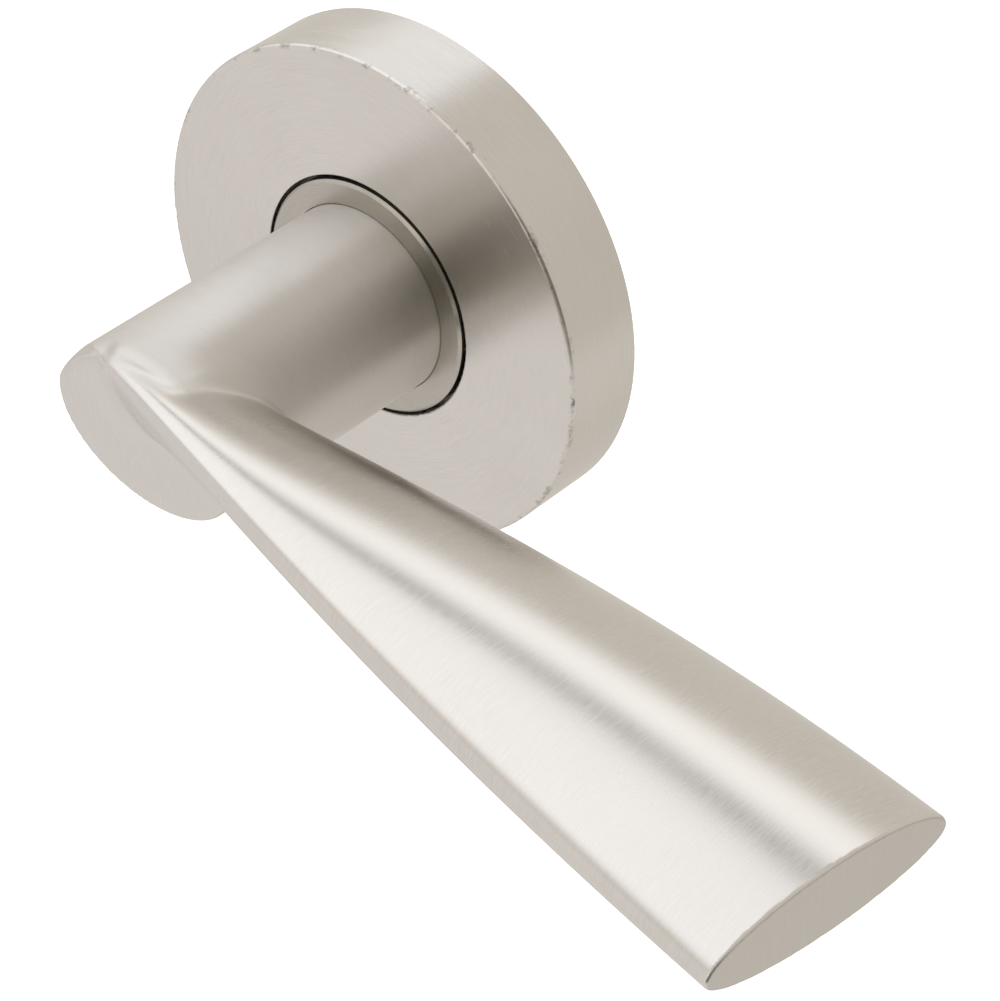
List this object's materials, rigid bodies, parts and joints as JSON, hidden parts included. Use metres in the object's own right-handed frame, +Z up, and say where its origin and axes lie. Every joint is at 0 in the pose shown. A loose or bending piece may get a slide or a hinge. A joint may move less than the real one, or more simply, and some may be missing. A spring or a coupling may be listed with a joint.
{
  "type": "door lever handle",
  "caption": "Lever door handle on a round rose: twisted blade on a cylindrical neck, sprung to level, with a push-on cover over a bolt-through base.",
  "frame": {"origin": "centre of the rose on the door face", "axes": "-Y points away from the door to the user, +Z is up, and the blade lies along +X at rest"},
  "size_m": [0.1287, 0.0876, 0.06],
  "materials": {
    "stainless_lever": "satin, brushed along the blade and round the neck",
    "stainless_rose": "satin, brushed in circles on the face and round the rim",
    "zinc_casting": "die-cast, matt",
    "zinc_plated_steel": "zinc plated",
    "spring_steel": "oiled spring steel",
    "black_oxide_steel": "black oxide",
    "bearing_polymer": "moulded acetal",
    "grip_rubber": "moulded rubber"
  },
  "bodies": {
    "rose": {"base_plate": "zinc_casting", "fixing_post_left": "zinc_plated_steel", "fixing_post_right": "zinc_plated_steel", "bearing_bush": "bearing_polymer", "thrust_washer": "bearing_polymer", "trim_ring": "stainless_rose", "cover_grip_ring": "grip_rubber", "spring_plate": "zinc_plated_steel", "spring_plate_screws": "zinc_plated_steel", "rest_stop_pin": "zinc_plated_steel", "travel_stop_pin": "zinc_plated_steel", "spring_anchor_pin": "zinc_plated_steel", "return_spring": "spring_steel"},
    "cover": {"rose_cover": "stainless_rose"},
    "lever": {"lever_handle": "stainless_lever", "drive_cam": "zinc_plated_steel", "shim_washer": "spring_steel", "circlip": "black_oxide_steel", "spindle": "zinc_plated_steel", "grub_screw": "black_oxide_steel"}
  },
  "joints": [
    {"name": "lever_turn", "type": "hinge", "parent": "rose", "child": "lever", "pos_m": [0, 0, 0], "axis": [0, 1, 0], "range_deg": [0, 45], "stiffness_Nm_per_rad": 0.8, "springref_deg": -34.38, "deforming": ["return_spring"]},
    {"name": "cover_slide", "type": "slide", "parent": "rose", "child": "cover", "axis": [0, -1, 0], "range_m": [0, 0.015]}
  ]
}
